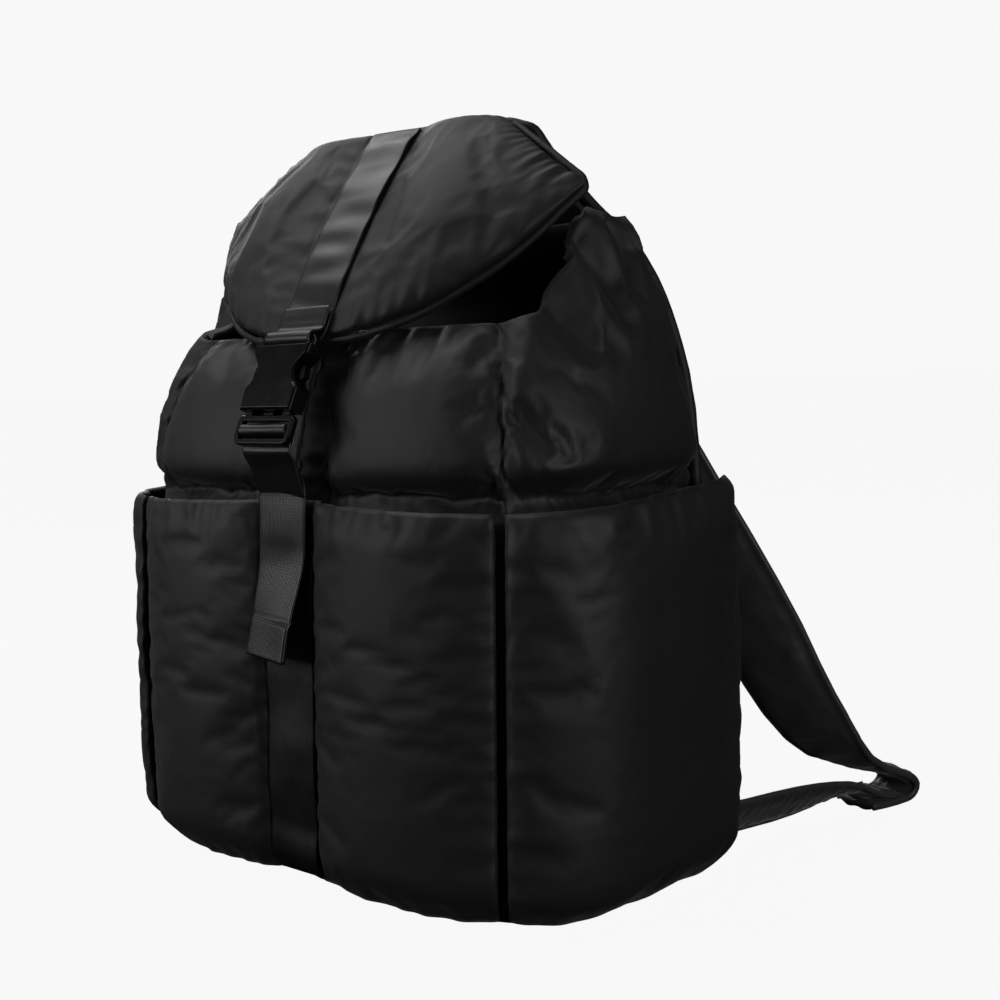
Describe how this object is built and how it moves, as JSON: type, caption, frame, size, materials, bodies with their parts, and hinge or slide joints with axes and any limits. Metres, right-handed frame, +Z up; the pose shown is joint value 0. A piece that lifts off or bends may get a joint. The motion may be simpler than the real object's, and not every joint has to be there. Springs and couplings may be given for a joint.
{
  "type": "quilted puffer backpack",
  "caption": "Padded backpack with a domed flap, a strap closed by a side-release buckle, open front and side pockets and two shoulder straps.",
  "frame": {"origin": "on the floor, on the base panel's underside, under the middle of the bag", "axes": "+Z up, front faces -Y, +X to the right of someone who faces the front"},
  "size_m": [0.4114, 0.3546, 0.418],
  "materials": {
    "nylon": "satin black nylon",
    "nylon_dark": "matt black nylon",
    "webbing": "glossy black woven webbing",
    "buckle": "moulded black acetal"
  },
  "bodies": {
    "root": {"main_bag": "nylon", "base_panel": "nylon_dark", "front_pocket_right": "nylon", "front_pocket_left": "nylon", "side_pocket_right": "nylon", "side_pocket_left": "nylon", "back_panel": "nylon_dark", "back_binding": "nylon_dark", "flap": "nylon", "flap_piping": "nylon_dark", "flap_webbing": "webbing", "front_webbing": "webbing", "buckle_socket": "buckle", "buckle_plug": "buckle", "shoulder_strap_right": "nylon", "shoulder_strap_left": "nylon", "lower_strap_right": "nylon", "lower_strap_left": "nylon"}
  },
  "joints": []
}
